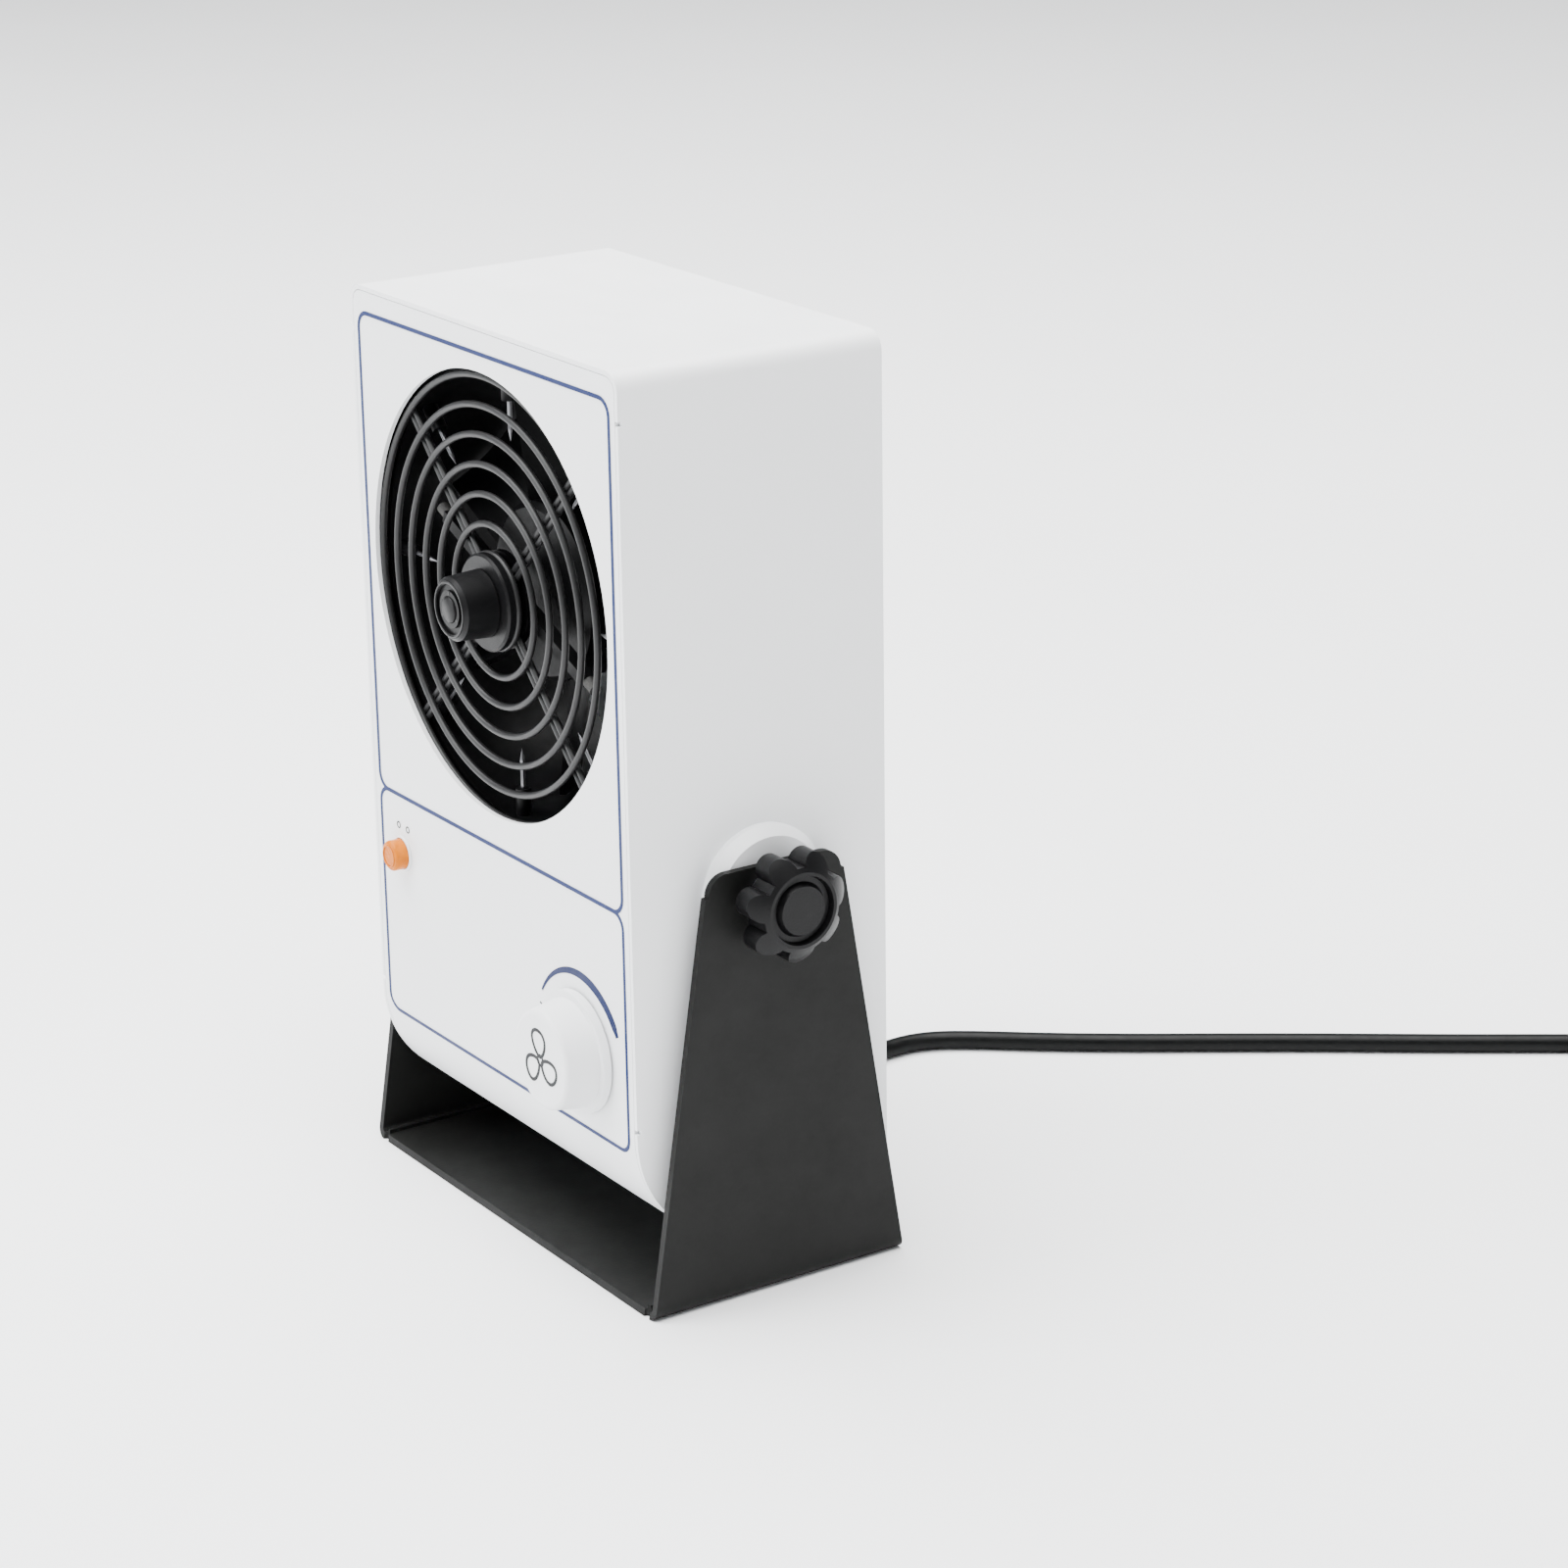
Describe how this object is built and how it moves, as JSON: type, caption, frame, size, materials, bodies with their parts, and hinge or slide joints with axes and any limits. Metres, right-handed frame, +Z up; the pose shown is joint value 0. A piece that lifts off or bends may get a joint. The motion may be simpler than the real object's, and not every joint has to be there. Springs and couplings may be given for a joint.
{
  "type": "ionizing blower",
  "caption": "Bench ionizing blower: upright sheet-metal housing with a guarded fan outlet, speed knob and lamp, tilting in a U-shaped stand, with a mains cord.",
  "frame": {"origin": "centre of the stand's underside, midway between the two bench bolt holes", "axes": "+X to the right seen from the front, +Y to the rear, +Z up; the fan blows towards -Y"},
  "size_m": [0.293, 0.3736, 0.24],
  "materials": {
    "white_coat": "fine satin white powder coat",
    "black_coat": "fine-textured matt black powder coat",
    "guard_wire": "semi-gloss black coated steel wire",
    "bright_wire": "bright nickel-plated steel wire",
    "zinc_steel": "zinc-plated steel",
    "white_plastic": "smooth satin white moulding",
    "black_plastic": "black glass-filled moulding",
    "brush_hair": "pale nylon bristle",
    "needle_metal": "tungsten, pointed and polished",
    "magnet": "dark bonded ferrite",
    "copper_winding": "enamelled copper wire on steel",
    "pot_metal": "plain pressed can and bush",
    "amber_lens": "translucent amber lens",
    "potting": "black potted case",
    "circuit_board": "green solder mask",
    "cord_jacket": "satin black PVC",
    "pin_brass": "nickel-plated brass"
  },
  "bodies": {
    "stand": {"stand": "black_coat", "cord_lead": "cord_jacket", "cord_run": "cord_jacket", "cord_coil": "cord_jacket", "cord_tail": "cord_jacket", "cord_tie": "cord_jacket", "plug_body": "cord_jacket", "plug_pins": "pin_brass"},
    "housing": {"chassis": "white_coat", "cover": "white_coat", "yoke": "zinc_steel", "weld_nuts": "zinc_steel", "yoke_screws": "zinc_steel", "cover_screws": "zinc_steel", "pivot_boss_right": "white_plastic", "pivot_boss_left": "white_plastic", "front_guard": "guard_wire", "guard_hub": "black_plastic", "hub_retainer": "black_plastic", "hub_screws": "zinc_steel", "return_spring": "zinc_steel", "emitter_frame": "black_plastic", "emitter_needles": "needle_metal", "panel_studs": "zinc_steel", "fan_nuts": "zinc_steel", "fan_frame": "black_plastic", "fan_stator": "copper_winding", "fan_bearings": "zinc_steel", "rear_guard": "bright_wire", "rear_guard_screws": "zinc_steel", "speed_pot": "pot_metal", "pot_nut": "zinc_steel", "lamp_lens": "amber_lens", "lamp_holder": "white_plastic", "lamp_clip": "zinc_steel", "hv_module": "potting", "control_board": "circuit_board", "board_standoffs": "white_plastic", "board_screws": "zinc_steel", "terminal_block": "circuit_board", "cord_gland": "cord_jacket"},
    "rotor": {"fan_rotor": "black_plastic", "rotor_magnet": "magnet", "fan_shaft": "zinc_steel"},
    "cleaner": {"cleaner_knob": "black_plastic", "cleaner_shaft": "zinc_steel", "brush_carrier": "black_plastic", "brush_tufts": "brush_hair", "shaft_clip": "zinc_steel"},
    "dial": {"speed_knob": "white_plastic", "speed_shaft": "zinc_steel"},
    "clamp_right": {"clamp_knob_right": "black_plastic", "clamp_stud_right": "zinc_steel", "clamp_washer_right": "zinc_steel"},
    "clamp_left": {"clamp_knob_left": "black_plastic", "clamp_stud_left": "zinc_steel", "clamp_washer_left": "zinc_steel"}
  },
  "joints": [
    {"name": "housing_tilt", "type": "hinge", "parent": "stand", "child": "housing", "pos_m": [0, 0, 0.105], "axis": [1, 0, 0], "range_deg": [-45, 45], "deforming": ["cord_lead"]},
    {"name": "fan_spin", "type": "hinge", "parent": "housing", "child": "rotor", "pos_m": [0, 0, 0.1698], "axis": [0, 1, 0], "continuous": true},
    {"name": "cleaner_turn", "type": "hinge", "parent": "housing", "child": "cleaner", "pos_m": [0, 0, 0.1698], "axis": [0, 1, 0], "range_deg": [0, 180], "stiffness_Nm_per_rad": 0.01, "springref_deg": -17.19},
    {"name": "dial_turn", "type": "hinge", "parent": "housing", "child": "dial", "pos_m": [0.0385, -0.0375, 0.0623], "axis": [0, 1, 0], "range_deg": [0, 270]},
    {"name": "clamp_right_turn", "type": "hinge", "parent": "housing", "child": "clamp_right", "pos_m": [0.0717, 0, 0.105], "axis": [1, 0, 0], "range_deg": [0, 180]},
    {"name": "clamp_left_turn", "type": "hinge", "parent": "housing", "child": "clamp_left", "pos_m": [-0.0717, 0, 0.105], "axis": [-1, 0, 0], "range_deg": [0, 180]}
  ]
}
